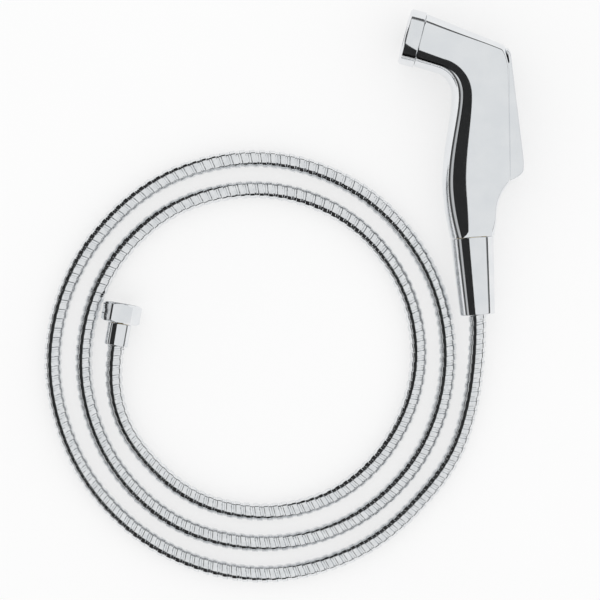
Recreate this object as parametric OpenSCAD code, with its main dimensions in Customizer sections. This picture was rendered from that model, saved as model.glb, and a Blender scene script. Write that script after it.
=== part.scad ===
/*
  Handheld bidet shower: a trigger handset on a two metre metal hose with a loose hex nut.
  It lies on its side. Lengths are in millimetres.
  Handset frame: X runs from the spray face to the lever, Y up the handle from the seam
  between body and cone nut, and Z is across the handset, with its middle plane at zero.
*/

/* [Handset body] */
// Width of the body across its flat sides at the seam
body_end_w = 31; // [30:0.5:34]
// Width of the body across its flat sides at the collar
body_head_w = 36.6; // [35.5:0.1:37.5]
// Wall of the moulded body
body_wall = 2.4; // [1.8:0.1:3]
// Thickness of the floor that the inlet passes through
floor_t = 4; // [3:0.5:5]
// Radius of the round head where the collar seats
head_r = 18.3; // [17.6:0.1:18.6]
// Angle of the spray axis above the horizontal
head_tilt = 18.9; // [17:0.1:21]
// Roundness of the body's section, 2 is elliptical and more is squarer
section_power = 2.2; // [2:0.1:2.8]

/* [Spray head] */
// Outside radius of the head collar
collar_r = 19.25; // [19:0.05:20]
// Length of the head collar along the spray axis
collar_len = 11.4; // [11:0.2:13]
// Bevel round the front of the collar
collar_bevel = 1.3; // [0.6:0.1:1.6]
// Thickness of the collar's front lip
lip_t = 1.8; // [1.4:0.1:2.2]
// Radius of the opening in the collar's front lip
lip_r = 13.8; // [13:0.1:14.4]
// Thickness of the spray plate's rim
plate_t = 2.6; // [2:0.1:3]
// Radius of one spray hole
spray_hole_r = 0.6; // [0.4:0.05:0.7]
// Number of rings of spray holes
spray_rings = 4; // [3:1:4]
// Number of holes added by each ring
spray_step = 6; // [5:1:7]
// Radius of the chamber behind the spray plate
head_bore_r = 13.5; // [12.5:0.1:14]
// Depth of the chamber behind the spray plate
head_chamber = 11; // [9:0.5:13]

/* [Lever] */
// Clearance between the lever and the body on each side
lever_gap = 0.4; // [0.3:0.05:0.6]
// Wall of the lever
lever_wall = 2.2; // [1.8:0.1:2.6]
// Radius of the hinge pin
hinge_pin_r = 1.5; // [1.2:0.1:1.8]
// Length of the hinge pin
hinge_pin_len = 18; // [17:0.5:20]
// Running clearance round the hinge pin
hinge_clearance = 0.06; // [0.03:0.01:0.09]
// Radius of the lever's hinge boss
hinge_boss_r = 4; // [3.5:0.1:4.4]

/* [Valve] */
// Height of the valve above the seam
valve_y = 62; // [58:1:66]
// Outside radius of the valve chamber
chamber_r = 9.5; // [9:0.1:10]
// Bore radius of the valve chamber
chamber_bore_r = 6.4; // [6:0.1:6.8]
// Radius of the valve seat's hole
seat_r = 4.2; // [3.6:0.1:4.6]
// Radius of the valve stem
stem_r = 2; // [1.6:0.1:2.4]
// Sliding clearance round the stem
stem_clearance = 0.08; // [0.04:0.01:0.1]
// Wire radius of the return spring
spring_wire_r = 0.45; // [0.35:0.05:0.5]
// Turns of the return spring
spring_turns = 5; // [4:1:6]
// Bore radius of the water way
waterway_r = 4; // [3.5:0.1:4.4]
// Bore radius of the riser from the valve to the head
riser_bore_r = 2.8; // [2.4:0.1:3]

/* [Inlet and cone nut] */
// Radius of the inlet thread over its crests
inlet_thread_r = 10.4; // [10.2:0.05:10.45]
// Length of the inlet thread
inlet_thread_len = 11; // [9:0.5:13]
// Radius of the inlet's shank inside the valve body
shank_r = 7.9; // [7.4:0.1:8.2]
// Length of the inlet's shank
shank_len = 15; // [13:0.5:17]
// Radius of the cone nut at the seam
cone_top_r = 14.75; // [14.5:0.05:15]
// Radius of the cone nut where the hose leaves it
cone_end_r = 11.85; // [11:0.05:12.5]
// Length of the cone nut
cone_len = 53; // [50:1:60]

/* [Hose] */
// Outside diameter of the metal hose
hose_d = 12; // [11.5:0.1:12]
// Clearance between the hose and the bores that it passes
hose_clearance = 0.5; // [0.4:0.05:0.8]
// Bore radius of the two hose inserts
insert_bore_r = 3.2; // [2.8:0.1:3.5]

/* [Hex nut end] */
// Width of the hex nut across its flats
nut_af = 24; // [23.5:0.5:27]
// Height of the hex nut
nut_h = 13.5; // [12.5:0.5:15]
// Radius to which the corners of the hex nut are turned down
nut_corner_r = 13.3; // [12.6:0.1:13.6]
// Wall radius of the nut's half inch pipe thread
nut_thread_r = 9.4; // [9.32:0.02:9.6]
// Thickness of the nut's inner lip
nut_lip_t = 2.2; // [2:0.1:3]
// Outside radius of the ferrule
ferrule_r = 8.1; // [7.8:0.1:8.6]
// Length of the ferrule
ferrule_len = 15.3; // [14:0.1:18]
// Angle of the nut's axis from the Y axis
nut_lean = 14.4; // [10:0.2:18]

/* [Hidden] */
$fn = 64;

chrome = [0.80, 0.82, 0.84];
steel = [0.70, 0.71, 0.73];
brass = [0.80, 0.66, 0.38];
resin = [0.90, 0.90, 0.88];
dark_rubber = [0.12, 0.12, 0.13];
grey_face = [0.62, 0.64, 0.66];

// Small gap between turned parts that are screwed or pushed together
fit_gap = 0.1;
// Gap at seams that show
seam = 0.3;

// Head: t runs back from the spray face along the spray axis, r runs up across it
face = [-35.4, 139.4];
spray_dir = [-cos(head_tilt), sin(head_tilt)];
across_dir = [sin(head_tilt), cos(head_tilt)];
function head(t, r) = face - t * spray_dir + r * across_dir;

// Half width of the body at a height above the seam, a straight taper
collar_back_y = head(collar_len, 0).y;
function body_half(y) = (body_end_w + (body_head_w - body_end_w) * y / collar_back_y) / 2;

// Rest pose: the collar and the lower end of the flat side both touch the floor
flat_end_y = 5;
rest_pitch = atan((collar_r - body_half(flat_end_y)) / (collar_back_y - flat_end_y));
seam_height = collar_r * cos(rest_pitch) - collar_back_y * sin(rest_pitch);
seam_at = [1.2, -51.8, seam_height];

module handset() {
  translate(seam_at) rotate([rest_pitch, 0, 0]) children();
}

// Turned pieces on the spray axis, with their Z along t
module on_head() {
  translate([face.x, face.y, 0]) rotate([0, 90, -head_tilt]) children();
}

// Turned pieces on the inlet axis, with their Z up the handle
module on_inlet() {
  rotate([-90, 0, 0]) children();
}

// Turned pieces on the valve axis, with their Z towards the lever
module on_valve() {
  translate([0, valve_y, 0]) rotate([0, 90, 0]) children();
}

module ring(r_out, r_in, h) {
  difference() {
    cylinder(r = r_out, h = h);
    translate([0, 0, -1]) cylinder(r = r_in, h = h + 2);
  }
}

module o_ring(centre_r, wire_r) {
  rotate_extrude() translate([centre_r, 0]) circle(r = wire_r, $fn = 24);
}

// Seal groove in a shaft, and the seal that fills it out to the bore
groove_depth = 1.2;
groove_w = 2;
module groove(shaft_r) {
  translate([0, 0, -groove_w / 2]) ring(shaft_r + 1, shaft_r - groove_depth, groove_w);
}
module groove_seal(shaft_r) {
  half = (groove_depth + fit_gap) / 2;
  o_ring(shaft_r - groove_depth + half, half - 0.02);
}

// Curves
function bez(c, t) =
  pow(1 - t, 3) * c[0] + 3 * pow(1 - t, 2) * t * c[1] + 3 * (1 - t) * t * t * c[2] + pow(t, 3) * c[3];
function straight(a, b) = [a, a + (b - a) / 3, a + (b - a) * 2 / 3, b];
function trace(segments, which) =
  [for (s = segments) for (i = [0:s[2] - 1]) bez(s[which], i / s[2])];
function unit(v) = v / norm(v);
// Each point of a clockwise loop moved inwards by d
function inward(loop, d) =
  let (n = len(loop))
  [for (i = [0:n - 1])
    let (along = unit(loop[(i + 1) % n] - loop[(i + n - 1) % n]))
    loop[i] + d * [along.y, -along.x]];

// A rounded slab between the middle plane's outline and the smaller outline of its flat sides.
// Both outlines have the same number of points. Each side follows the body's taper, less inset.
module pillow(outline, flat, inset, rings, power = 2) {
  n = len(outline);
  levels = [for (j = [-rings:rings]) 90 * j / rings];
  points = [
    for (a = levels) for (i = [0:n - 1])
      let (
        p = flat[i] + (outline[i] - flat[i]) * pow(abs(cos(a)), 2 / power),
        z = sign(a) * pow(abs(sin(a)), 2 / power) * (body_half(p.y) - inset)
      )
      [p.x, p.y, z]
  ];
  sides = [
    for (j = [0:2 * rings - 1]) for (i = [0:n - 1])
      let (k = (i + 1) % n)
      [j * n + i, j * n + k, (j + 1) * n + k, (j + 1) * n + i]
  ];
  triangles = [for (q = sides) each [[q[0], q[1], q[2]], [q[0], q[2], q[3]]]];
  low_cap = [for (i = [0:n - 1]) n - 1 - i];
  high_cap = [for (i = [0:n - 1]) 2 * rings * n + i];
  polyhedron(points, concat(triangles, [low_cap, high_cap]), convexity = 10);
}

// A plain slab with the body's taper on both sides
module slab(loop, inset) {
  n = len(loop);
  low = [for (p = loop) [p.x, p.y, inset - body_half(p.y)]];
  high = [for (p = loop) [p.x, p.y, body_half(p.y) - inset]];
  walls = [
    for (i = [0:n - 1])
      let (k = (i + 1) % n)
      each [[i, k, n + k], [i, n + k, n + i]]
  ];
  polyhedron(
    concat(low, high),
    concat(walls, [[for (i = [0:n - 1]) n - 1 - i], [for (i = [0:n - 1]) n + i]]),
    convexity = 6
  );
}

// Where the riser meets the spray axis
riser_x = 13.5;
junction_t = (riser_x - face.x) / cos(head_tilt);
gasket_t = 1;
plate_back_t = lip_t + plate_t + gasket_t;
flange_t0 = plate_back_t + head_chamber;
outlet_flange_t = 2.5;
outlet_len = junction_t - flange_t0 - 2;
outlet_r = 6;
outlet_wall_t = 2.4;
socket_r = 8.5;
socket_len = 13;

// Outline of the body in the middle plane, clockwise from the foot of the grip's front,
// each stretch beside the matching stretch of the flat side's outline, with its number of steps.
// The foot runs on below the seam, where the body is cut off.
belly = [-17.6, 32];
throat = [-6.6, 97.5];
chin = [-15.9, 112.7];
crown = [30.6, 128.7];
rear_top = [34.2, 111];
rear_low = [29.3, 38];
heel = [27.9, 33.8];
waist = [17.6, 12];
foot_y = -6;
neck_low = head(collar_len, -head_r);
neck_high = head(collar_len, head_r);
foot_front = [1.15 - cone_top_r, foot_y];
foot_rear = [cone_top_r - 1.95, foot_y];
flat_low = head(collar_len, -2);
flat_high = head(collar_len, 2);
flat_front = [-0.5, flat_end_y];
flat_rear = [13.5, flat_end_y + 3.5];
body_path = [
  [[foot_front, [-15.6, 4], [-17.6, 18], belly],
   [flat_front, [2, 13], [5, 22], [5, 32]], 8],
  [[belly, [-17.6, 56], [-6.6, 85], throat],
   [[5, 32], [5, 54], [10.5, 82], [10.5, 97]], 12],
  [[throat, [-6.6, 104.5], [-9.4, 110.2], chin],
   [[10.5, 97], [10.5, 109], [2.5, 119.5], [-8, 125]], 10],
  [straight(chin, neck_low),
   straight([-8, 125], flat_low), 1],
  [straight(neck_low, neck_high),
   straight(flat_low, flat_high), 1],
  [straight(neck_high, crown),
   [flat_high, [-7, 131.5], [15, 128.5], [27.5, 121.5]], 10],
  [[crown, [32.6, 127.7], [34.6, 120], rear_top],
   [[27.5, 121.5], [28.8, 120.4], [31, 117], [31.2, 109]], 7],
  [straight(rear_top, rear_low),
   straight([31.2, 109], [27.8, 40.5]), 1],
  [straight(rear_low, heel),
   straight([27.8, 40.5], [26.3, 36.2]), 1],
  [[heel, [22.2, 28.6], [18.6, 22], waist],
   [[26.3, 36.2], [21.2, 31.2], [16.8, 25], [16, 15]], 9],
  [[waist, [17.4, 7], [15.6, 0.5], foot_rear],
   [[16, 15], [15.8, 12], [15, 10], flat_rear], 5],
  [straight(foot_rear, foot_front),
   straight(flat_rear, flat_front), 1]
];
body_outline = trace(body_path, 0);
body_flat = trace(body_path, 1);
body_rings = 9;
head_neck_r = head_r - 1.3;
// Back of the wall that the outlet tube passes through, and room round what the body holds
head_wall_t = flange_t0 + outlet_flange_t + outlet_wall_t;
room_gap = 0.3;
boss_wall = 3;

// Lever: its outline from the top of the grip to the tip, then back up inside the body
lever_top = [32.1, 127];
lever_shoulder = [35.4, 122];
lever_belly = [38.6, 54];
lever_tip = [37.9, 41.5];
lever_toe = [28.8, 35.6];
lever_back_path = [
  [[lever_top, [33.4, 126.3], [35.1, 124.8], lever_shoulder],
   straight([33.5, 117], [33.9, 116.2]), 6],
  [straight(lever_shoulder, lever_belly),
   straight([33.9, 116.2], [37, 54]), 6],
  [[lever_belly, [38.9, 49.5], [38.8, 44.5], lever_tip],
   [[37, 54], [37.2, 49.8], [37.3, 45.6], [36.4, 42.6]], 6],
  [[lever_tip, [36.8, 38.6], [31.8, 37], lever_toe],
   [[36.4, 42.6], [35.2, 40.4], [31.5, 38.7], [28.8, 37.2]], 6]
];
lever_inside = [lever_toe, [25.2, 35.6], [25.2, 40], [29.6, 110], [29.6, 115.6], [33.6, 115.6]];
lever_inside_flat = [[28.8, 37.2], [25.2, 37.2], [25.2, 40.5], [29.6, 110], [29.6, 115.4], [33.4, 115.4]];
lever_outline = concat(trace(lever_back_path, 0), lever_inside);
lever_flat = concat(trace(lever_back_path, 1), lever_inside_flat);
lever_inset = body_wall + lever_gap;
lever_power = 3.5;
function lever_back_x(y) =
  lever_shoulder.x + (lever_belly.x - lever_shoulder.x) * (lever_shoulder.y - y) / (lever_shoulder.y - lever_belly.y);
// Hollow of the lever, open to the front, from its shoulder (point 6) to its toe (point 23)
lever_inner = inward(lever_outline, lever_wall);
lever_hollow = concat(
  [[15, 130], [lever_back_x(122) - lever_wall, 130]],
  [for (i = [6:23]) lever_inner[i]],
  [[15, lever_inner[23].y]]
);
// Hollow of the grip, open at the rear, where the lever closes it
slot_bottom = 34.9;
slot_loop = [[4, slot_bottom], [4, 68], [9, 98], [9, 108], [18, 116], [60, 116], [60, slot_bottom]];
slot_relief = 0.1;
// Cut across the crown that the lever's top swings in
crown_cut = [[33.2, 115], [31.6, 128.6], [31.6, 140], [60, 140], [60, 115]];

// Hinge and press point
hinge = [27.5, 117.5];
boss_half = 5.5;
ear_in = boss_half + 0.4;
ear_out = hinge_pin_len / 2;
stem_tip_x = 30;
press_gap = 0.3;
press_boss_r = 4;

// Valve, along X from the blind end of its chamber to the gland
chamber_end_x = -6.5;
spring_seat_x = -4.5;
poppet_x = 4.5;
poppet_t = 2;
valve_seal_t = 1;
seat_x = poppet_x + poppet_t + valve_seal_t;
seat_t = 2.5;
gland_x = 17;
gland_len = 5;
gland_flange_t = 2;
chamber_face_x = gland_x + gland_len;
riser_r = 5.5;
poppet_r = chamber_bore_r - 0.6;
upper_bore_r = 5.5;
gland_seal_wire = 0.8;

module body_shell() {
  web_way = hinge_pin_len + 2;
  socket_back_t = junction_t + riser_r;
  color(chrome) handset() difference() {
    union() {
      difference() {
        pillow(body_outline, body_flat, 0, body_rings, section_power);
        translate([-40, -20, -30]) cube([80, 20, 60]);
      }
      on_head() translate([0, 0, plate_back_t]) cylinder(r = head_neck_r, h = collar_len);
    }
    slab(slot_loop, body_wall - slot_relief);
    translate([0, 0, -30]) linear_extrude(60) polygon(crown_cut);
    // Way for the hinge arms and the lever's web
    translate([riser_x - 0.5, 108, -web_way / 2]) cube([30, 14.4, web_way]);
    // Rooms for the inlet boss, the water column, the chamber and the riser
    on_inlet() {
      translate([0, 0, floor_t]) cylinder(r = shank_r + boss_wall + room_gap, h = shank_len + room_gap);
      translate([0, 0, floor_t]) cylinder(r = waterway_r + boss_wall + room_gap, h = valve_y - floor_t);
    }
    on_valve() translate([0, 0, chamber_end_x - room_gap])
      cylinder(r = chamber_r + room_gap, h = chamber_face_x - chamber_end_x);
    translate([riser_x, valve_y, 0]) on_inlet()
      cylinder(r = riser_r + room_gap, h = head(junction_t, 0).y - valve_y);
    // Chamber behind the spray plate, the way for the outlet tube and the room for its socket
    on_head() {
      cylinder(r = head_bore_r, h = flange_t0 + outlet_flange_t);
      cylinder(r = outlet_r + fit_gap, h = head_wall_t + 1);
      translate([0, 0, head_wall_t]) cylinder(r = socket_r + room_gap, h = socket_back_t + room_gap - head_wall_t);
    }
    // Hole for the inlet's shank
    on_inlet() translate([0, 0, -1]) cylinder(r = shank_r + fit_gap, h = floor_t + 2);
  }
}

module head_collar() {
  color(chrome) handset() on_head() rotate_extrude() polygon([
    [lip_r, 0.6],
    [lip_r + 0.6, 0],
    [collar_r - collar_bevel, 0],
    [collar_r, collar_bevel],
    [collar_r, collar_len - 0.8],
    [collar_r - 0.8, collar_len - seam],
    [head_neck_r + fit_gap, collar_len - seam],
    [head_neck_r + fit_gap, lip_t],
    [lip_r, lip_t]
  ]);
}

module spray_plate() {
  rim_r = head_neck_r - fit_gap;
  field_r = lip_r - 0.2;
  color(grey_face) handset() on_head() difference() {
    union() {
      translate([0, 0, lip_t]) cylinder(r = rim_r, h = plate_t);
      translate([0, 0, 0.5]) cylinder(r = field_r, h = lip_t);
    }
    // Rings of fine holes
    for (k = [0:spray_rings]) {
      count = k == 0 ? 1 : spray_step * k;
      for (i = [0:count - 1])
        rotate(360 * i / count) translate([k * (field_r - 1.6) / spray_rings, 0, -1])
          cylinder(r = spray_hole_r, h = 10, $fn = 24);
    }
  }
}

module plate_gasket() {
  color(dark_rubber) handset() on_head() translate([0, 0, lip_t + plate_t])
    ring(head_neck_r - fit_gap, head_bore_r, gasket_t);
}

module outlet_tube() {
  color(resin) handset() on_head() difference() {
    union() {
      translate([0, 0, flange_t0]) cylinder(r = head_bore_r - fit_gap, h = outlet_flange_t);
      translate([0, 0, flange_t0]) cylinder(r = outlet_r, h = outlet_len);
    }
    translate([0, 0, flange_t0 - 1]) cylinder(r = waterway_r, h = outlet_len + 2);
    translate([0, 0, flange_t0 + outlet_len - 4]) groove(outlet_r);
  }
}

module outlet_seal() {
  color(dark_rubber) handset() on_head() translate([0, 0, flange_t0 + outlet_len - 4]) groove_seal(outlet_r);
}

module valve_body() {
  socket_t0 = flange_t0 + outlet_len - socket_len;
  color(resin) handset() difference() {
    union() {
      on_inlet() {
        translate([0, 0, floor_t]) cylinder(r = shank_r + boss_wall, h = shank_len);
        translate([0, 0, floor_t]) cylinder(r = waterway_r + boss_wall, h = valve_y - floor_t);
      }
      on_valve() translate([0, 0, chamber_end_x]) cylinder(r = chamber_r, h = chamber_face_x - chamber_end_x);
      translate([riser_x, valve_y, 0]) on_inlet() cylinder(r = riser_r, h = head(junction_t, 0).y - valve_y);
      on_head() translate([0, 0, socket_t0]) cylinder(r = socket_r, h = junction_t + riser_r - socket_t0);
      // Arms that carry the hinge pin
      for (side = [-1, 1]) translate([0, 0, side * (ear_in + ear_out) / 2])
        linear_extrude(ear_out - ear_in, center = true) {
          translate(hinge) circle(r = hinge_boss_r);
          polygon([[riser_x, 112], [riser_x, 122], hinge + [0, hinge_boss_r], hinge - [0, hinge_boss_r]]);
        }
    }
    on_inlet() {
      cylinder(r = shank_r + fit_gap, h = shank_len + fit_gap);
      cylinder(r = waterway_r, h = valve_y);
    }
    on_valve() {
      translate([0, 0, spring_seat_x]) cylinder(r = chamber_bore_r, h = seat_x - spring_seat_x);
      translate([0, 0, 0]) cylinder(r = seat_r, h = gland_x);
      translate([0, 0, seat_x + seat_t]) cylinder(r = upper_bore_r, h = gland_x);
      translate([0, 0, gland_x]) cylinder(r = chamber_bore_r, h = gland_len + 5);
    }
    translate([riser_x, valve_y, 0]) on_inlet() cylinder(r = riser_bore_r, h = head(junction_t, 0).y - valve_y);
    on_head() {
      translate([0, 0, 0]) cylinder(r = outlet_r + fit_gap, h = flange_t0 + outlet_len + fit_gap);
      translate([0, 0, flange_t0]) cylinder(r = waterway_r, h = junction_t + riser_bore_r - flange_t0);
    }
    translate([hinge.x, hinge.y, -20]) cylinder(r = hinge_pin_r, h = 40);
  }
}

module hinge_pin() {
  color(steel) handset() translate([hinge.x, hinge.y, 0])
    cylinder(r = hinge_pin_r, h = hinge_pin_len, center = true);
}

module valve_gland() {
  color(brass) handset() on_valve() difference() {
    union() {
      translate([0, 0, gland_x]) cylinder(r = chamber_bore_r - fit_gap, h = gland_len + 1);
      translate([0, 0, chamber_face_x]) cylinder(r = chamber_r - 1, h = gland_flange_t, $fn = 6);
    }
    translate([0, 0, gland_x - 1]) cylinder(r = stem_r + stem_clearance, h = 20);
    translate([0, 0, gland_x - 1]) cylinder(r = stem_r + 2 * gland_seal_wire, h = 1 + 2 * gland_seal_wire + 0.1);
  }
}

module gland_seal() {
  color(dark_rubber) handset() on_valve() translate([0, 0, gland_x + gland_seal_wire])
    o_ring(stem_r + gland_seal_wire + 0.02, gland_seal_wire - 0.02);
}

module valve_stem() {
  color(steel) handset() on_valve() {
    translate([0, 0, poppet_x]) cylinder(r = poppet_r, h = poppet_t);
    translate([0, 0, poppet_x]) cylinder(r = stem_r, h = stem_tip_x - stem_r - poppet_x);
    translate([0, 0, stem_tip_x - stem_r]) sphere(r = stem_r);
    // Spigot that centres the spring
    translate([0, 0, poppet_x - 1.5]) cylinder(r = stem_r + 0.4, h = 2);
  }
}

module valve_seal() {
  color(dark_rubber) handset() on_valve() translate([0, 0, poppet_x + poppet_t])
    ring(poppet_r, stem_r, valve_seal_t - 0.05);
}

// A round wire wound along Z
module coil(centre_r, wire_r, height, turns) {
  per_turn = 14;
  sides = 6;
  steps = per_turn * turns;
  rise = height - 2 * wire_r;
  points = [
    for (i = [0:steps]) for (k = [0:sides - 1])
      let (a = 360 * i / per_turn, b = 360 * k / sides, r = centre_r + wire_r * cos(b))
      [r * cos(a), r * sin(a), wire_r + rise * i / steps + wire_r * sin(b)]
  ];
  faces = [
    for (i = [0:steps - 1]) for (k = [0:sides - 1])
      let (m = (k + 1) % sides)
      each [
        [i * sides + k, i * sides + m, (i + 1) * sides + m],
        [i * sides + k, (i + 1) * sides + m, (i + 1) * sides + k]
      ]
  ];
  ends = [[for (k = [0:sides - 1]) sides - 1 - k], [for (k = [0:sides - 1]) steps * sides + k]];
  polyhedron(points, concat(faces, ends), convexity = 10);
}

module return_spring() {
  color(steel) handset() on_valve() translate([0, 0, spring_seat_x])
    coil(stem_r + 0.4 + spring_wire_r + 0.3, spring_wire_r, poppet_x - spring_seat_x, spring_turns);
}

module lever() {
  wall_middle = lever_wall / 2;
  web_high = hinge.y + 3;
  web_low = hinge.y - 8;
  color(chrome) handset() difference() {
    union() {
      difference() {
        pillow(lever_outline, lever_flat, lever_inset, 5, lever_power);
        slab(lever_hollow, lever_inset + lever_wall);
      }
      // Hinge boss on its web
      translate([0, 0, -boss_half]) linear_extrude(2 * boss_half)
        polygon([
          hinge + [0, -hinge_boss_r],
          hinge + [0, hinge_boss_r],
          [lever_back_x(web_high) - wall_middle, web_high],
          [lever_back_x(web_low) - wall_middle, web_low]
        ]);
      translate([hinge.x, hinge.y, -boss_half]) cylinder(r = hinge_boss_r, h = 2 * boss_half);
      // Boss that presses the stem
      translate([stem_tip_x + press_gap, valve_y, 0]) rotate([0, 90, 0])
        cylinder(r = press_boss_r, h = lever_back_x(valve_y) - wall_middle - stem_tip_x - press_gap);
    }
    translate([hinge.x, hinge.y, -20]) cylinder(r = hinge_pin_r + hinge_clearance, h = 40);
  }
}

module inlet_nipple() {
  color(brass) handset() on_inlet() difference() {
    union() {
      translate([0, 0, -inlet_thread_len]) cylinder(r = inlet_thread_r, h = inlet_thread_len);
      translate([0, 0, -1]) cylinder(r = shank_r, h = shank_len + 1);
    }
    translate([0, 0, -inlet_thread_len - 1]) cylinder(r = waterway_r, h = 60);
    translate([0, 0, shank_len - 3.5]) groove(shank_r);
  }
}

module nipple_seal() {
  color(dark_rubber) handset() on_inlet() translate([0, 0, shank_len - 3.5]) groove_seal(shank_r);
}

// Depths below the seam of what the cone nut holds
washer_t = 2;
insert_flange_t = 2;
flange_y = -inlet_thread_len - washer_t;
sleeve_y = flange_y - insert_flange_t;
sleeve_len = 18;
hose_start_y = sleeve_y - sleeve_len;
sleeve_r = 8.2;
flange_r = 9.6;
hose_bore_r = hose_d / 2 + hose_clearance;

module cone_nut() {
  color(chrome) handset() on_inlet() rotate_extrude($fn = 96) polygon([
    [inlet_thread_r + fit_gap, -seam],
    [cone_top_r - 0.4, -seam],
    [cone_top_r, -seam - 0.4],
    [cone_end_r, -cone_len + 0.4],
    [cone_end_r - 0.4, -cone_len],
    [hose_bore_r + 0.4, -cone_len],
    [hose_bore_r, -cone_len + 0.4],
    [hose_bore_r, hose_start_y - 2],
    [sleeve_r + fit_gap, hose_start_y - 2 + sleeve_r - hose_bore_r],
    [sleeve_r + fit_gap, sleeve_y - fit_gap],
    [inlet_thread_r + fit_gap, sleeve_y - fit_gap]
  ]);
}

module cone_washer() {
  color(dark_rubber) handset() on_inlet() translate([0, 0, flange_y])
    ring(flange_r, waterway_r + 0.6, washer_t);
}

module upper_insert() {
  color(brass) handset() on_inlet() difference() {
    union() {
      translate([0, 0, sleeve_y]) cylinder(r = flange_r, h = insert_flange_t);
      translate([0, 0, hose_start_y]) cylinder(r = insert_bore_r + 1, h = sleeve_len + 1);
    }
    translate([0, 0, hose_start_y - 1]) cylinder(r = insert_bore_r, h = 40);
  }
}

module upper_sleeve() {
  color(steel) handset() on_inlet() translate([0, 0, hose_start_y])
    ring(sleeve_r, insert_bore_r + 1, sleeve_len);
}

// Route of the hose's centre over the floor. The first two points follow the cone nut's axis.
lie = hose_d / 2;
nut_at = [-246, -107];
nut_dir = [sin(nut_lean), cos(nut_lean)];
nut_z = nut_af / 2;
hose_entry = 10;
function on_axis(y) = seam_at + [0, y * cos(rest_pitch), y * sin(rest_pitch)];
hose_route = [
  on_axis(hose_start_y),
  on_axis(-cone_len - 7),
  [-2, -136, 10.5],
  [-6, -158, 7.5],
  [-13, -180, lie],
  [-29, -210, lie],
  [-84, -256, lie],
  [-157, -271, lie],
  [-226, -247, lie],
  [-275, -192, lie],
  [-291, -118, lie],
  [-267, -48, lie],
  [-209, 2, lie],
  [-135, 13, lie],
  [-68, -17, lie],
  [-28, -74, lie],
  [-21, -139, lie],
  [-45, -199, lie],
  [-94, -239, lie],
  [-155, -250, lie],
  [-215, -231, lie],
  [-257, -183, lie],
  [-270, -120, lie],
  [-250, -58, lie],
  [-200, -16, lie],
  [-136, -8, lie],
  [-80, -33, lie],
  [-46, -82, lie],
  [-41, -138, lie],
  [-63, -187, lie],
  [-103, -220, lie],
  [-154, -229, lie],
  [-203, -214, lie],
  [-238, -177, lie],
  [-249, -149, 8],
  [-250, -127, 11],
  [nut_at.x, nut_at.y, nut_z],
  [nut_at.x + hose_entry * nut_dir.x, nut_at.y + hose_entry * nut_dir.y, nut_z]
];

// A smooth curve through the route's points
function route_point(p, i, t) =
  let (
    n = len(p) - 1,
    a = p[max(i - 1, 0)], b = p[i], c = p[i + 1], d = p[min(i + 2, n)]
  )
  0.5 * (2 * b + (c - a) * t + (2 * a - 5 * b + 4 * c - d) * t * t + (3 * b - a - 3 * c + d) * t * t * t);
ring_pitch = 27;
hose_line = [
  for (i = [0:len(hose_route) - 2])
    let (steps = max(1, round(norm(hose_route[i + 1] - hose_route[i]) / ring_pitch)))
    for (k = [0:steps - 1]) route_point(hose_route, i, k / steps),
  hose_route[len(hose_route) - 1]
];

module sweep(line, r, sides) {
  last = len(line) - 1;
  points = [
    for (i = [0:last])
      let (
        along = unit(line[min(i + 1, last)] - line[max(i - 1, 0)]),
        side = unit(cross(along, [0, 0, 1])),
        up = cross(side, along)
      )
      for (k = [0:sides - 1]) line[i] + r * (cos(360 * k / sides) * up + sin(360 * k / sides) * side)
  ];
  faces = [
    for (i = [0:last - 1]) for (k = [0:sides - 1])
      let (m = (k + 1) % sides)
      each [
        [i * sides + k, (i + 1) * sides + m, i * sides + m],
        [i * sides + k, (i + 1) * sides + k, (i + 1) * sides + m]
      ]
  ];
  ends = [[for (k = [0:sides - 1]) k], [for (k = [0:sides - 1]) last * sides + sides - 1 - k]];
  polyhedron(points, concat(faces, ends), convexity = 10);
}

module hose() {
  color(steel) sweep(hose_line, hose_d / 2, 10);
}

// Turned pieces at the hose's far end, with their Z away from the hose
module far_end() {
  translate([nut_at.x, nut_at.y, nut_z]) rotate([-90, 0, -nut_lean]) children();
}

nut_s = ferrule_len + seam;
neck_r = 6.1;
nut_flange_r = nut_thread_r - seam;
nut_flange_s = nut_s + nut_lip_t + seam;
nut_flange_t = 1.6;
relief_len = seam + nut_flange_t + washer_t;
relief_r = nut_thread_r + 0.5;

module lower_ferrule() {
  color(chrome) far_end() rotate_extrude() polygon([
    [hose_bore_r, 0],
    [ferrule_r - 0.4, 0],
    [ferrule_r, 0.4],
    [ferrule_r, ferrule_len - 0.3],
    [ferrule_r - 0.3, ferrule_len],
    [insert_bore_r + 1, ferrule_len],
    [insert_bore_r + 1, ferrule_len - 2],
    [hose_bore_r, ferrule_len - 2]
  ]);
}

module lower_insert() {
  color(brass) far_end() difference() {
    union() {
      translate([0, 0, hose_entry]) cylinder(r = insert_bore_r + 1, h = ferrule_len - hose_entry + 1);
      translate([0, 0, ferrule_len]) cylinder(r = neck_r, h = nut_lip_t + 2 * seam);
      translate([0, 0, nut_flange_s]) cylinder(r = nut_flange_r, h = nut_flange_t);
    }
    translate([0, 0, hose_entry - 1]) cylinder(r = insert_bore_r, h = 40);
  }
}

module hex_nut() {
  color(chrome) far_end() translate([0, 0, nut_s]) difference() {
    intersection() {
      cylinder(r = nut_af / sqrt(3), h = nut_h, $fn = 6);
      rotate_extrude() polygon([
        [0, 0],
        [nut_af / 2 - 0.6, 0],
        [nut_corner_r, 1.4],
        [nut_corner_r, nut_h - 1.4],
        [nut_af / 2 - 0.6, nut_h],
        [0, nut_h]
      ]);
    }
    translate([0, 0, -1]) cylinder(r = neck_r + 0.08, h = nut_h);
    translate([0, 0, nut_lip_t]) cylinder(r = nut_thread_r, h = nut_h);
    translate([0, 0, nut_lip_t]) cylinder(r = relief_r, h = relief_len);
  }
}

module nut_washer() {
  color(dark_rubber) far_end() translate([0, 0, nut_flange_s + nut_flange_t])
    ring(nut_flange_r, insert_bore_r + 1, washer_t);
}

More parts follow.
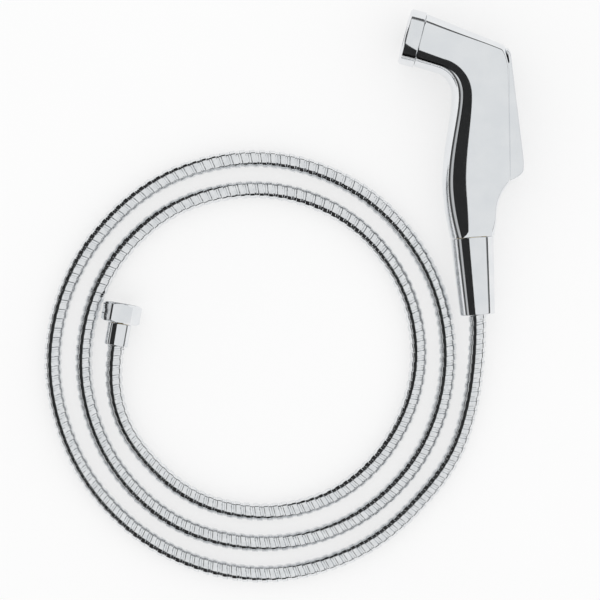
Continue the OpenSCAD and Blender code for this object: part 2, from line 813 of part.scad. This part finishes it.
body_shell();
head_collar();
spray_plate();
plate_gasket();
outlet_tube();
outlet_seal();
valve_body();
hinge_pin();
valve_gland();
gland_seal();
valve_stem();
valve_seal();
return_spring();
lever();
inlet_nipple();
nipple_seal();
cone_nut();
cone_washer();
upper_insert();
upper_sleeve();
hose();
lower_ferrule();
lower_insert();
hex_nut();
nut_washer();
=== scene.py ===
import math

import bmesh
import bpy
from mathutils import Matrix, Vector


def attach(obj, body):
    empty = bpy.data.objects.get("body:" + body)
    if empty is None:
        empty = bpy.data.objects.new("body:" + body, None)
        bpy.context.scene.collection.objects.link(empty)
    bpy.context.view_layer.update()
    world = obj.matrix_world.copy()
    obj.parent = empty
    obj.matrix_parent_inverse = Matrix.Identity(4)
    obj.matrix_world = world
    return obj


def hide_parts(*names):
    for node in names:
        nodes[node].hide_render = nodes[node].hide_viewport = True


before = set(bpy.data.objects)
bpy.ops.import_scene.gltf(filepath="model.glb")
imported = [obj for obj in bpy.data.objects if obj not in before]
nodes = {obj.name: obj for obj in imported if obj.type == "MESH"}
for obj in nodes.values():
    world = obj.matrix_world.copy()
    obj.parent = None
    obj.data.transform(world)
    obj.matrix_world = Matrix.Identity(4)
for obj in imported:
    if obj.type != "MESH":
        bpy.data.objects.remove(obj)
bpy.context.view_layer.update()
scene = bpy.context.scene
scene.view_settings.view_transform = "Standard"
MM = 0.001

# Camera
# Straight down on the set, turned so that the cone nut leans as in the photograph
VIEW_MM = 408.0
LENS = 200.0
TURN = math.radians(4.4)
cam = bpy.data.cameras.new("camera")
cam.lens = LENS
cam.sensor_width = 36.0
cam.clip_start = 0.05
cam.clip_end = 50.0
cam_obj = bpy.data.objects.new("camera", cam)
scene.collection.objects.link(cam_obj)
cam_obj.location = (-0.1186, -0.0856, 0.015 + VIEW_MM * MM * LENS / 36.0)
cam_obj.rotation_euler = (0.0, 0.0, -TURN)
scene.camera = cam_obj

# Sizes in millimetres, as in the part
BODY_END_W, BODY_HEAD_W, WALL = 31.0, 36.6, 2.4
HEAD_R, TILT = 18.3, math.radians(18.9)
POWER = 2.2
COLLAR_R, COLLAR_LEN = 19.25, 11.4
SEAM = 0.3
FACE = Vector((-35.4, 139.4))
SPRAY = Vector((-math.cos(TILT), math.sin(TILT)))
ACROSS = Vector((math.sin(TILT), math.cos(TILT)))


def head(t, r):
    return FACE - SPRAY * t + ACROSS * r


COLLAR_BACK_Y = head(COLLAR_LEN, 0).y


def body_half(y):
    return (BODY_END_W + (BODY_HEAD_W - BODY_END_W) * y / COLLAR_BACK_Y) / 2


FLAT_END_Y = 5.0
PITCH = math.atan((COLLAR_R - body_half(FLAT_END_Y)) / (COLLAR_BACK_Y - FLAT_END_Y))
SEAM_Z = COLLAR_R * math.cos(PITCH) - COLLAR_BACK_Y * math.sin(PITCH)
HANDSET = Matrix.Translation((1.2, -51.8, SEAM_Z)) @ Matrix.Rotation(PITCH, 4, "X")
ON_HEAD = HANDSET @ Matrix.Translation((FACE.x, FACE.y, 0)) @ Matrix.Rotation(-TILT, 4, "Z") @ Matrix.Rotation(math.pi / 2, 4, "Y")
ON_INLET = HANDSET @ Matrix.Rotation(-math.pi / 2, 4, "X")
LEAN = math.radians(14.4)
NUT_AT = Vector((-246.0, -107.0, 12.0))
FAR_END = Matrix.Translation(NUT_AT) @ Matrix.Rotation(-LEAN, 4, "Z") @ Matrix.Rotation(-math.pi / 2, 4, "X")


def add_mesh(name, verts, faces, place=None, smooth=True):
    """A mesh object from millimetres, put in place and turned to metres."""
    place = place or Matrix.Identity(4)
    mesh = bpy.data.meshes.new(name)
    mesh.from_pydata([(place @ Vector(v)) * MM for v in verts], [], faces)
    mesh.validate()
    if smooth:
        mesh.polygons.foreach_set("use_smooth", [True] * len(mesh.polygons))
    obj = bpy.data.objects.new(name, mesh)
    scene.collection.objects.link(obj)
    return obj


def set_sharp(obj, degrees):
    mesh = obj.data
    mesh.polygons.foreach_set("use_smooth", [True] * len(mesh.polygons))
    mesh.set_sharp_from_angle(angle=math.radians(degrees))


def combine(obj, tool, how):
    """Boolean of obj with tool, kept as obj's mesh. The tool is dropped."""
    mod = obj.modifiers.new("cut", "BOOLEAN")
    mod.operation = how
    mod.solver = "EXACT"
    mod.object = tool
    dg = bpy.context.evaluated_depsgraph_get()
    made = bpy.data.meshes.new_from_object(obj.evaluated_get(dg))
    obj.modifiers.clear()
    old = obj.data
    obj.data = made
    bpy.data.meshes.remove(old)
    bpy.data.objects.remove(tool)


def lathe(name, profile, place, count=192, closed=True):
    """A closed profile of (radius, height) turned about Z."""
    verts, faces = [], []
    n = len(profile)
    for i in range(count):
        a = 2 * math.pi * i / count
        for r, z in profile:
            verts.append((r * math.cos(a), r * math.sin(a), z))
    for i in range(count):
        k = (i + 1) % count
        for j in range(n if closed else n - 1):
            m = (j + 1) % n
            faces.append((i * n + j, k * n + j, k * n + m, i * n + m))
    return add_mesh(name, verts, faces, place)


def rounded(points, radii, steps=4):
    """The polygon with each corner turned to an arc of about the given radius."""
    out = []
    n = len(points)
    for i, p in enumerate(points):
        p = Vector(p)
        r = radii[i] if isinstance(radii, (list, tuple)) else radii
        a, b = Vector(points[i - 1]) - p, Vector(points[(i + 1) % n]) - p
        r = min(r, a.length * 0.45, b.length * 0.45)
        if r <= 0:
            out.append(tuple(p))
            continue
        a, b = p + a.normalized() * r, p + b.normalized() * r
        for s in range(steps + 1):
            t = s / steps
            out.append(tuple(a * (1 - t) ** 2 + p * 2 * t * (1 - t) + b * t * t))
    return out


def facing_out(obj):
    bm = bmesh.new()
    bm.from_mesh(obj.data)
    bmesh.ops.recalc_face_normals(bm, faces=bm.faces)
    bm.to_mesh(obj.data)
    bm.free()


# Hose
# The same points as in the part, on the centre line over the floor
HOSE_D, LIE = 12.0, 6.0
PITCH_MM = 6.6
HOSE_START_Y, CONE_LEN, HOSE_ENTRY = -33.0, 53.0, 10.0


def on_axis(y):
    return Vector((1.2, -51.8 + y * math.cos(PITCH), SEAM_Z + y * math.sin(PITCH)))


NUT_DIR = Vector((math.sin(LEAN), math.cos(LEAN), 0.0))
ROUTE = [on_axis(HOSE_START_Y), on_axis(-CONE_LEN - 7)] + [Vector(p) for p in [
    (-2, -136, 10.5), (-6, -158, 7.5), (-13, -180, LIE), (-29, -210, LIE),
    (-84, -256, LIE), (-157, -271, LIE), (-226, -247, LIE), (-275, -192, LIE),
    (-291, -118, LIE), (-267, -48, LIE), (-209, 2, LIE), (-135, 13, LIE),
    (-68, -17, LIE), (-28, -74, LIE), (-21, -139, LIE), (-45, -199, LIE),
    (-94, -239, LIE), (-155, -250, LIE), (-215, -231, LIE), (-257, -183, LIE),
    (-270, -120, LIE), (-250, -58, LIE), (-200, -16, LIE), (-136, -8, LIE),
    (-80, -33, LIE), (-46, -82, LIE), (-41, -138, LIE), (-63, -187, LIE),
    (-103, -220, LIE), (-154, -229, LIE), (-203, -214, LIE), (-238, -177, LIE),
    (-249, -149, 8), (-250, -127, 11),
]] + [NUT_AT, NUT_AT + NUT_DIR * HOSE_ENTRY]


def route_point(i, t):
    n = len(ROUTE) - 1
    a, b, c, d = ROUTE[max(i - 1, 0)], ROUTE[i], ROUTE[i + 1], ROUTE[min(i + 2, n)]
    return 0.5 * (2 * b + (c - a) * t + (2 * a - 5 * b + 4 * c - d) * t * t + (3 * b - a - 3 * c + d) * t ** 3)


line = []
for i in range(len(ROUTE) - 1):
    steps = max(2, round((ROUTE[i + 1] - ROUTE[i]).length / 3.0))
    line += [route_point(i, k / steps) for k in range(steps)]
line.append(ROUTE[-1])
# Even the bends out a little, with both ends held
for _ in range(40):
    line = line[:3] + [(line[i - 1] + line[i] * 2 + line[i + 1]) / 4 for i in range(3, len(line) - 3)] + line[-3:]
along = [0.0]
for a, b in zip(line, line[1:]):
    along.append(along[-1] + (b - a).length)
HOSE_LEN = along[-1]


def hose_at(s, _state={"i": 0}):
    """Centre, sideways and upward directions at a length along the hose."""
    s = min(max(s, 0.0), HOSE_LEN)
    i = _state["i"]
    while i > 0 and along[i] > s:
        i -= 1
    while i < len(along) - 2 and along[i + 1] < s:
        i += 1
    _state["i"] = i
    t = (s - along[i]) / (along[i + 1] - along[i])
    p = line[i].lerp(line[i + 1], t)
    d0 = (line[min(i + 1, len(line) - 1)] - line[max(i - 1, 0)]).normalized()
    d1 = (line[min(i + 2, len(line) - 1)] - line[i]).normalized()
    d = d0.lerp(d1, t).normalized()
    side = d.cross(Vector((0, 0, 1))).normalized()
    return p, side, side.cross(d)


# Radius at shares of one turn of the wound strip, a raised band and a lower one
BAND = [(0.00, 5.1), (0.02, 5.82), (0.06, 6.0), (0.50, 6.0), (0.54, 5.85), (0.56, 5.5), (0.72, 5.52), (0.75, 5.32), (0.79, 5.52), (0.97, 5.5)]
AROUND = 28


def make_hose():
    turns = int(HOSE_LEN / PITCH_MM) + 2
    verts, faces, uvs = [], [], []
    total = turns * AROUND
    n = len(BAND)
    for q in range(total + 1):
        turn = q / AROUND - 1
        a = 2 * math.pi * (q % AROUND) / AROUND
        for share, r in BAND:
            s = (turn + share) * PITCH_MM
            p, side, up = hose_at(s)
            verts.append(p + side * (r * math.sin(a)) + up * (r * math.cos(a)))
    for q in range(total):
        for j in range(n - 1):
            faces.append((q * n + j, (q + 1) * n + j, (q + 1) * n + j + 1, q * n + j + 1))
        # The last edge of one turn meets the first edge of the next
        if q + AROUND + 1 <= total:
            faces.append((q * n + n - 1, (q + 1) * n + n - 1, (q + 1 + AROUND) * n, (q + AROUND) * n))
    return add_mesh("hose_skin", verts, faces)


hose = make_hose()
bm = bmesh.new()
bm.from_mesh(hose.data)
bmesh.ops.dissolve_degenerate(bm, dist=1e-7, edges=bm.edges)
bmesh.ops.recalc_face_normals(bm, faces=bm.faces)
bm.to_mesh(hose.data)
bm.free()
set_sharp(hose, 18)
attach(hose, "shower")
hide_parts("hose")


# Handset body and lever
def bez(c, t):
    c = [Vector(p) for p in c]
    return c[0] * (1 - t) ** 3 + c[1] * 3 * (1 - t) ** 2 * t + c[2] * 3 * (1 - t) * t * t + c[3] * t ** 3


def straight(a, b):
    a, b = Vector(a), Vector(b)
    return [a, a + (b - a) / 3, a + (b - a) * 2 / 3, b]


def trace(path, which, times=1):
    out = []
    for seg in path:
        steps = seg[2] * times
        out += [bez(seg[which], i / steps) for i in range(steps)]
    return out


def inward(loop, d):
    out = []
    n = len(loop)
    for i in range(n):
        v = (loop[(i + 1) % n] - loop[i - 1]).normalized()
        out.append(loop[i] + Vector((v.y, -v.x)) * d)
    return out


def pillow(name, outline, flat, inset, rings, power):
    """Rounded slab between the middle plane's outline and the flat sides' outline."""
    n = len(outline)
    verts, faces = [], []
    for j in range(-rings, rings + 1):
        a = math.pi / 2 * j / rings
        c = max(math.cos(a), 0.0) ** (2 / power) if abs(j) < rings else 0.0
        s = math.copysign(abs(math.sin(a)) ** (2 / power), a) if j else 0.0
        for o, f in zip(outline, flat):
            p = f + (o - f) * c
            verts.append((p.x, p.y, s * (body_half(p.y) - inset)))
    for j in range(2 * rings):
        for i in range(n):
            k = (i + 1) % n
            faces.append((j * n + i, (j + 1) * n + i, (j + 1) * n + k, j * n + k))
    faces.append(tuple(range(n)))
    faces.append(tuple(2 * rings * n + n - 1 - i for i in range(n)))
    obj = add_mesh(name, verts, faces, HANDSET)
    facing_out(obj)
    return obj


def slab(name, loop, inset):
    n = len(loop)
    verts = [(p[0], p[1], inset - body_half(p[1])) for p in loop] + [(p[0], p[1], body_half(p[1]) - inset) for p in loop]
    faces = [(i, n + i, n + (i + 1) % n, (i + 1) % n) for i in range(n)]
    faces += [tuple(range(n)), tuple(2 * n - 1 - i for i in range(n))]
    obj = add_mesh(name, verts, faces, HANDSET)
    facing_out(obj)
    return obj


def block(name, low, high, place):
    verts = [(x, y, z) for x in (low[0], high[0]) for y in (low[1], high[1]) for z in (low[2], high[2])]
    faces = [(0, 1, 3, 2), (4, 6, 7, 5), (0, 4, 5, 1), (2, 3, 7, 6), (0, 2, 6, 4), (1, 5, 7, 3)]
    obj = add_mesh(name, verts, faces, place)
    facing_out(obj)
    return obj


def rod(name, r, z0, z1, place, count=96):
    obj = lathe(name, [(0.0, z0), (r, z0), (r, z1), (0.0, z1)], place, count, closed=False)
    bm = bmesh.new()
    bm.from_mesh(obj.data)
    bmesh.ops.remove_doubles(bm, verts=bm.verts, dist=1e-7)
    bmesh.ops.recalc_face_normals(bm, faces=bm.faces)
    bm.to_mesh(obj.data)
    bm.free()
    return obj


CHIN, CROWN = Vector((-15.9, 112.7)), Vector((30.6, 128.7))
CONE_TOP_R = 14.75


def body_path(foot_y, flat_foot_y):
    neck_low, neck_high = head(COLLAR_LEN, -HEAD_R), head(COLLAR_LEN, HEAD_R)
    foot_front, foot_rear = Vector((1.15 - CONE_TOP_R, foot_y)), Vector((CONE_TOP_R - 1.95, foot_y))
    flat_low, flat_high = head(COLLAR_LEN, -2), head(COLLAR_LEN, 2)
    flat_front, flat_rear = Vector((-0.5, flat_foot_y)), Vector((13.5, flat_foot_y + 3.5))
    belly, throat, waist = (-17.6, 32), (-6.6, 97.5), (17.6, 12)
    rear_top, rear_low, heel = (34.2, 111), (29.3, 38), (27.9, 33.8)
    return [
        ([foot_front, (-15.6, 4), (-17.6, 18), belly], [flat_front, (2, 13), (5, 22), (5, 32)], 8),
        ([belly, (-17.6, 56), (-6.6, 85), throat], [(5, 32), (5, 54), (10.5, 82), (10.5, 97)], 12),
        ([throat, (-6.6, 104.5), (-9.4, 110.2), CHIN], [(10.5, 97), (10.5, 109), (2.5, 119.5), (-8, 125)], 10),
        (straight(CHIN, neck_low), straight((-8, 125), flat_low), 1),
        (straight(neck_low, neck_high), straight(flat_low, flat_high), 1),
        (straight(neck_high, CROWN), [flat_high, (-7, 131.5), (15, 128.5), (27.5, 121.5)], 10),
        ([CROWN, (32.6, 127.7), (34.6, 120), rear_top], [(27.5, 121.5), (28.8, 120.4), (31, 117), (31.2, 109)], 7),
        (straight(rear_top, rear_low), straight((31.2, 109), (27.8, 40.5)), 1),
        (straight(rear_low, heel), straight((27.8, 40.5), (26.3, 36.2)), 1),
        ([heel, (22.2, 28.6), (18.6, 22), waist], [(26.3, 36.2), (21.2, 31.2), (16.8, 25), (16, 15)], 9),
        ([waist, (17.4, 7), (15.6, 0.5), foot_rear], [(16, 15), (15.8, 12), (15, 10), flat_rear], 5),
        (straight(foot_rear, foot_front), straight(flat_rear, flat_front), 1),
    ]


FLOOR_T, PLATE_BACK_T, HEAD_CHAMBER, OUTLET_FLANGE_T, OUTLET_WALL_T = 4.0, 5.4, 11.0, 2.5, 2.4
HEAD_WALL_T = PLATE_BACK_T + HEAD_CHAMBER + OUTLET_FLANGE_T + OUTLET_WALL_T
RISER_X, VALVE_Y = 13.5, 62.0
JUNCTION_T = (RISER_X - FACE.x) / math.cos(TILT)
HINGE = (27.5, 117.5)
SLOT = [(4, 34.9), (4, 68), (9, 98), (9, 108), (18, 116), (60, 116), (60, 34.9)]
CROWN_CUT = [(33.2, 115), (31.6, 128.6), (31.6, 140), (60, 140), (60, 115)]
ON_VALVE = HANDSET @ Matrix.Translation((0, VALVE_Y, 0)) @ Matrix.Rotation(math.pi / 2, 4, "Y")

path = body_path(-6.0, FLAT_END_Y)
body = pillow("body_skin", trace(path, 0, 4), trace(path, 1, 4), 0.0, 28, POWER)
combine(body, block("tool", (-40, -20, -30), (40, 0, 30), HANDSET), "DIFFERENCE")
combine(body, rod("tool", HEAD_R - 1.3, PLATE_BACK_T, 16.0, ON_HEAD), "UNION")
combine(body, slab("tool", SLOT, WALL - 0.1), "DIFFERENCE")
combine(body, slab("tool", CROWN_CUT, -12.0), "DIFFERENCE")
combine(body, block("tool", (RISER_X - 0.5, 108, -10), (RISER_X + 29.5, 122.4, 10), HANDSET), "DIFFERENCE")
junction_y = head(JUNCTION_T, 0).y
rooms = [
    (11.2, 4.0, 19.3, ON_INLET), (7.3, 4.0, VALVE_Y, ON_INLET), (9.8, -6.8, 22.0, ON_VALVE),
    (5.8, 0.0, junction_y - VALVE_Y, HANDSET @ Matrix.Translation((RISER_X, VALVE_Y, 0)) @ Matrix.Rotation(-math.pi / 2, 4, "X")),
    (13.5, -1.0, 18.9, ON_HEAD), (6.1, 10.0, HEAD_WALL_T + 1, ON_HEAD), (8.8, HEAD_WALL_T, JUNCTION_T + 5.8, ON_HEAD),
    (8.0, -1.0, 5.0, ON_INLET),
]
for r, z0, z1, place in rooms:
    combine(body, rod("tool", r, z0, z1, place), "DIFFERENCE")
set_sharp(body, 28)
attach(body, "shower")
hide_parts("body_shell")

# Lever
LEVER_WALL, LEVER_INSET = 2.2, WALL + 0.4
SHOULDER, LBELLY, TIP, TOE = (35.4, 122), (38.6, 54), (37.9, 41.5), (28.8, 35.6)
lever_path = [
    ([(32.1, 127), (33.4, 126.3), (35.1, 124.8), SHOULDER], straight((33.5, 117), (33.9, 116.2)), 6),
    (straight(SHOULDER, LBELLY), straight((33.9, 116.2), (37, 54)), 6),
    ([LBELLY, (38.9, 49.5), (38.8, 44.5), TIP], [(37, 54), (37.2, 49.8), (37.3, 45.6), (36.4, 42.6)], 6),
    ([TIP, (36.8, 38.6), (31.8, 37), TOE], [(36.4, 42.6), (35.2, 40.4), (31.5, 38.7), (28.8, 37.2)], 6),
]


def lever_back_x(y):
    return SHOULDER[0] + (LBELLY[0] - SHOULDER[0]) * (SHOULDER[1] - y) / (SHOULDER[1] - LBELLY[1])


fine = 4
outline = trace(lever_path, 0, fine) + [Vector(p) for p in [TOE, (25.2, 35.6), (25.2, 40), (29.6, 110), (29.6, 115.6), (33.6, 115.6)]]
flat = trace(lever_path, 1, fine) + [Vector(p) for p in [(28.8, 37.2), (25.2, 37.2), (25.2, 40.5), (29.6, 110), (29.6, 115.4), (33.4, 115.4)]]
lever = pillow("lever_skin", outline, flat, LEVER_INSET, 20, 3.5)
inner = inward(outline, LEVER_WALL)
hollow = [(15, 130), (lever_back_x(122) - LEVER_WALL, 130)] + [tuple(inner[i]) for i in range(6 * fine, 24 * fine)] + [(15, inner[24 * fine - 1].y)]
combine(lever, slab("tool", hollow, LEVER_INSET + LEVER_WALL), "DIFFERENCE")
set_sharp(lever, 28)
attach(lever, "lever")
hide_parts("lever")

# Turned pieces
collar = lathe("collar_skin", rounded([
    (13.8, 0.6), (14.4, 0.0), (COLLAR_R - 1.3, 0.0), (COLLAR_R, 1.3), (COLLAR_R, COLLAR_LEN - 0.8),
    (COLLAR_R - 0.8, COLLAR_LEN - SEAM), (17.1, COLLAR_LEN - SEAM), (17.1, 1.8), (13.8, 1.8)], 0.35), ON_HEAD)
facing_out(collar)
set_sharp(collar, 40)
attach(collar, "shower")
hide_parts("head_collar")

cone = lathe("cone_skin", rounded([
    (10.5, -SEAM), (14.35, -SEAM), (14.75, -SEAM - 0.4), (11.85, -52.6), (11.45, -53.0), (6.9, -53.0),
    (6.5, -52.6), (6.5, -35.0), (8.3, -33.3), (8.3, -15.1), (10.5, -15.1)], 0.3), ON_INLET, 256)
facing_out(cone)
set_sharp(cone, 40)
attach(cone, "shower")
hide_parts("cone_nut")

ferrule = lathe("ferrule_skin", rounded([
    (6.5, 0.0), (7.7, 0.0), (8.1, 0.4), (8.1, 15.0), (7.8, 15.3), (4.2, 15.3), (4.2, 13.3), (6.5, 13.3)], 0.25), FAR_END)
facing_out(ferrule)
set_sharp(ferrule, 40)
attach(ferrule, "shower")
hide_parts("lower_ferrule")

# Hex nut: a prism with turned corners, bored, its edges softened
NUT_AF, NUT_H, NUT_S = 24.0, 13.5, 15.6
hexa = [(NUT_AF / math.sqrt(3) * math.cos(math.pi / 3 * i), NUT_AF / math.sqrt(3) * math.sin(math.pi / 3 * i)) for i in range(6)]
PLACE = FAR_END @ Matrix.Translation((0, 0, NUT_S))
nut = add_mesh("nut_skin", [(x, y, 0) for x, y in hexa] + [(x, y, NUT_H) for x, y in hexa],
               [(5, 4, 3, 2, 1, 0), (6, 7, 8, 9, 10, 11)] + [(i, (i + 1) % 6, 6 + (i + 1) % 6, 6 + i) for i in range(6)], PLACE)
facing_out(nut)
turned = lathe("tool", [(0, 0), (11.4, 0), (13.3, 1.4), (13.3, NUT_H - 1.4), (11.4, NUT_H), (0, NUT_H)], PLACE, 128, closed=False)
bm = bmesh.new()
bm.from_mesh(turned.data)
bmesh.ops.remove_doubles(bm, verts=bm.verts, dist=1e-7)
bmesh.ops.recalc_face_normals(bm, faces=bm.faces)
bm.to_mesh(turned.data)
bm.free()
combine(nut, turned, "INTERSECT")
combine(nut, rod("tool", 6.18, -1, 10, PLACE), "DIFFERENCE")
combine(nut, rod("tool", 9.4, 2.2, 20, PLACE), "DIFFERENCE")
combine(nut, rod("tool", 9.9, 2.2, 6.1, PLACE), "DIFFERENCE")
bevel = nut.modifiers.new("soft", "BEVEL")
bevel.width = 0.45 * MM
bevel.segments = 3
bevel.limit_method = "ANGLE"
bevel.angle_limit = math.radians(20)
bevel.harden_normals = True
set_sharp(nut, 50)
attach(nut, "nut")
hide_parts("hex_nut")


# Materials
def material(name):
    mat = bpy.data.materials.new(name)
    mat.use_nodes = True
    nt = mat.node_tree
    return mat, nt, nt.nodes["Principled BSDF"]


def noise(nt, scale, detail=4.0):
    coord = nt.nodes.new("ShaderNodeTexCoord")
    node = nt.nodes.new("ShaderNodeTexNoise")
    node.inputs["Scale"].default_value = scale
    node.inputs["Detail"].default_value = detail
    nt.links.new(coord.outputs["Object"], node.inputs["Vector"])
    return node.outputs["Fac"]


def ramp(nt, source, low, high, a=0.35, b=0.65):
    node = nt.nodes.new("ShaderNodeValToRGB")
    node.color_ramp.elements[0].position = a
    node.color_ramp.elements[1].position = b
    node.color_ramp.elements[0].color = (*low, 1)
    node.color_ramp.elements[1].color = (*high, 1)
    nt.links.new(source, node.inputs["Fac"])
    return node.outputs["Color"]


def spread(nt, source, low, high):
    node = nt.nodes.new("ShaderNodeMapRange")
    node.inputs["From Min"].default_value = 0.3
    node.inputs["From Max"].default_value = 0.7
    node.inputs["To Min"].default_value = low
    node.inputs["To Max"].default_value = high
    nt.links.new(source, node.inputs["Value"])
    return node.outputs["Result"]


def bump(nt, source, strength, distance, target):
    node = nt.nodes.new("ShaderNodeBump")
    node.inputs["Strength"].default_value = strength
    node.inputs["Distance"].default_value = distance
    nt.links.new(source, node.inputs["Height"])
    nt.links.new(node.outputs["Normal"], target.inputs["Normal"])


def metal(name, low, high, rough_low, rough_high, scale, bump_strength=0.0, bump_scale=300.0, coat=0.0):
    mat, nt, p = material(name)
    p.inputs["Metallic"].default_value = 1.0
    nt.links.new(ramp(nt, noise(nt, scale), low, high), p.inputs["Base Color"])
    nt.links.new(spread(nt, noise(nt, scale * 1.7), rough_low, rough_high), p.inputs["Roughness"])
    if bump_strength:
        bump(nt, noise(nt, bump_scale, 2.0), bump_strength, 0.0002, p)
    return mat


def plain(name, low, high, rough_low, rough_high, scale, bump_strength=0.15, bump_scale=900.0):
    mat, nt, p = material(name)
    nt.links.new(ramp(nt, noise(nt, scale), low, high), p.inputs["Base Color"])
    nt.links.new(spread(nt, noise(nt, scale * 2), rough_low, rough_high), p.inputs["Roughness"])
    bump(nt, noise(nt, bump_scale, 3.0), bump_strength, 0.0001, p)
    return mat


chrome = metal("bright_chrome", (0.80, 0.82, 0.84), (0.84, 0.855, 0.87), 0.045, 0.085, 60.0, 0.02, 260.0)
chrome_turned = metal("turned_chrome", (0.79, 0.81, 0.83), (0.84, 0.85, 0.865), 0.05, 0.10, 90.0, 0.02, 500.0)
hose_steel = metal("wound_steel", (0.76, 0.775, 0.79), (0.85, 0.86, 0.87), 0.05, 0.11, 220.0, 0.05, 900.0)
steel = metal("plain_steel", (0.60, 0.61, 0.63), (0.70, 0.71, 0.72), 0.22, 0.34, 300.0, 0.1, 1500.0)
brass = metal("bare_brass", (0.66, 0.50, 0.24), (0.78, 0.62, 0.34), 0.20, 0.34, 240.0, 0.1, 1200.0)
resin = plain("white_resin", (0.80, 0.80, 0.77), (0.86, 0.86, 0.84), 0.38, 0.52, 120.0)
rubber = plain("dark_rubber", (0.035, 0.035, 0.037), (0.06, 0.06, 0.062), 0.55, 0.75, 300.0, 0.3)
spray_face = plain("spray_face", (0.40, 0.415, 0.43), (0.47, 0.48, 0.50), 0.30, 0.42, 200.0)


def paint(obj, mat):
    obj.data.materials.clear()
    obj.data.materials.append(mat)


for piece in (body, lever):
    paint(piece, chrome)
for piece in (collar, cone, ferrule, nut):
    paint(piece, chrome_turned)
paint(hose, hose_steel)
kinds = {
    "spray_plate": spray_face, "plate_gasket": rubber, "outlet_tube": resin, "outlet_seal": rubber,
    "valve_body": resin, "hinge_pin": steel, "valve_gland": brass, "gland_seal": rubber, "valve_stem": steel,
    "valve_seal": rubber, "return_spring": steel, "inlet_nipple": brass, "nipple_seal": rubber,
    "cone_washer": rubber, "upper_insert": brass, "upper_sleeve": steel, "lower_insert": brass, "nut_washer": rubber,
}
for name, mat in kinds.items():
    paint(nodes[name], mat)
for name in ("head_collar", "cone_nut", "lower_ferrule", "hex_nut"):
    paint(nodes[name], chrome_turned)
for name in ("body_shell", "lever"):
    paint(nodes[name], chrome)
paint(nodes["hose"], hose_steel)

# Floor and light
mat, nt, p = material("pale_floor")
p.inputs["Roughness"].default_value = 0.9
p.inputs["Specular IOR Level"].default_value = 0.1
nt.links.new(ramp(nt, noise(nt, 4.0), (0.93, 0.93, 0.93), (0.95, 0.95, 0.95)), p.inputs["Base Color"])
glow = nt.nodes.new("ShaderNodeEmission")
glow.inputs["Color"].default_value = (1, 1, 1, 1)
glow.inputs["Strength"].default_value = 1.0
# The camera, mirrors and glass all see the same white ground, with the object's shadow kept
light_path = nt.nodes.new("ShaderNodeLightPath")
seen = light_path.outputs["Is Camera Ray"]
for ray in ("Is Glossy Ray", "Is Transmission Ray"):
    either = nt.nodes.new("ShaderNodeMath")
    either.operation = "MAXIMUM"
    nt.links.new(seen, either.inputs[0])
    nt.links.new(light_path.outputs[ray], either.inputs[1])
    seen = either.outputs[0]
share = nt.nodes.new("ShaderNodeMath")
share.operation = "MULTIPLY"
share.inputs[1].default_value = 0.6
nt.links.new(seen, share.inputs[0])
mix = nt.nodes.new("ShaderNodeMixShader")
nt.links.new(share.outputs[0], mix.inputs["Fac"])
nt.links.new(p.outputs["BSDF"], mix.inputs[1])
nt.links.new(glow.outputs["Emission"], mix.inputs[2])
nt.links.new(mix.outputs["Shader"], nt.nodes["Material Output"].inputs["Surface"])
floor = add_mesh("floor", [(-3000, -3000, 0), (3000, -3000, 0), (3000, 3000, 0), (-3000, 3000, 0)], [(0, 1, 2, 3)])
paint(floor, mat)

world = bpy.data.worlds.new("studio")
scene.world = world
world.use_nodes = True
nt = world.node_tree
nt.nodes.clear()
out = nt.nodes.new("ShaderNodeOutputWorld")
coord = nt.nodes.new("ShaderNodeTexCoord")


def math_node(operation, a, b=None, clamp=False):
    node = nt.nodes.new("ShaderNodeMath")
    node.operation = operation
    node.use_clamp = clamp
    for i, v in enumerate((a, b)):
        if v is None:
            continue
        if isinstance(v, (int, float)):
            node.inputs[i].default_value = v
        else:
            nt.links.new(v, node.inputs[i])
    return node.outputs[0]


def dot(direction):
    node = nt.nodes.new("ShaderNodeVectorMath")
    node.operation = "DOT_PRODUCT"
    nt.links.new(coord.outputs["Generated"], node.inputs[0])
    node.inputs[1].default_value = direction
    return node.outputs["Value"]


def smooth(value, low, high, to_low=0.0, to_high=1.0):
    node = nt.nodes.new("ShaderNodeMapRange")
    node.interpolation_type = "SMOOTHSTEP"
    node.inputs["From Min"].default_value = low
    node.inputs["From Max"].default_value = high
    node.inputs["To Min"].default_value = to_low
    node.inputs["To Max"].default_value = to_high
    nt.links.new(value, node.inputs["Value"])
    return node.outputs["Result"]


# A light tent with one long black card over the upper left side and a dark low surround
across = math_node("ABSOLUTE", dot((0.78, 0.08, 0.62)))
left = dot((-1, 0, 0))
half_width = smooth(left, -0.2, 0.6, 0.15, 0.43)
gap = math_node("SUBTRACT", across, half_width)
card = smooth(gap, -0.015, 0.015, 0.03, 1.0)
tent = smooth(dot((0, 0, 1)), 0.05, 0.45, 1.0, 0.86)
side = smooth(left, 0.8, 0.93, 1.0, 0.62)
horizon = smooth(dot((0, 0, 1)), 0.16, 0.30, 0.10, 1.0)
shades = math_node("MULTIPLY", side, horizon)
level = math_node("MULTIPLY", math_node("MULTIPLY", card, tent), shades)
studio = nt.nodes.new("ShaderNodeBackground")
nt.links.new(level, studio.inputs["Strength"])
studio.inputs["Color"].default_value = (0.985, 0.995, 1.0, 1)
even = nt.nodes.new("ShaderNodeBackground")
even.inputs["Color"].default_value = (1, 1, 1, 1)
even.inputs["Strength"].default_value = 1.0
light_path = nt.nodes.new("ShaderNodeLightPath")
mix = nt.nodes.new("ShaderNodeMixShader")
nt.links.new(light_path.outputs["Is Glossy Ray"], mix.inputs["Fac"])
nt.links.new(even.outputs["Background"], mix.inputs[1])
nt.links.new(studio.outputs["Background"], mix.inputs[2])
nt.links.new(mix.outputs["Shader"], out.inputs["Surface"])
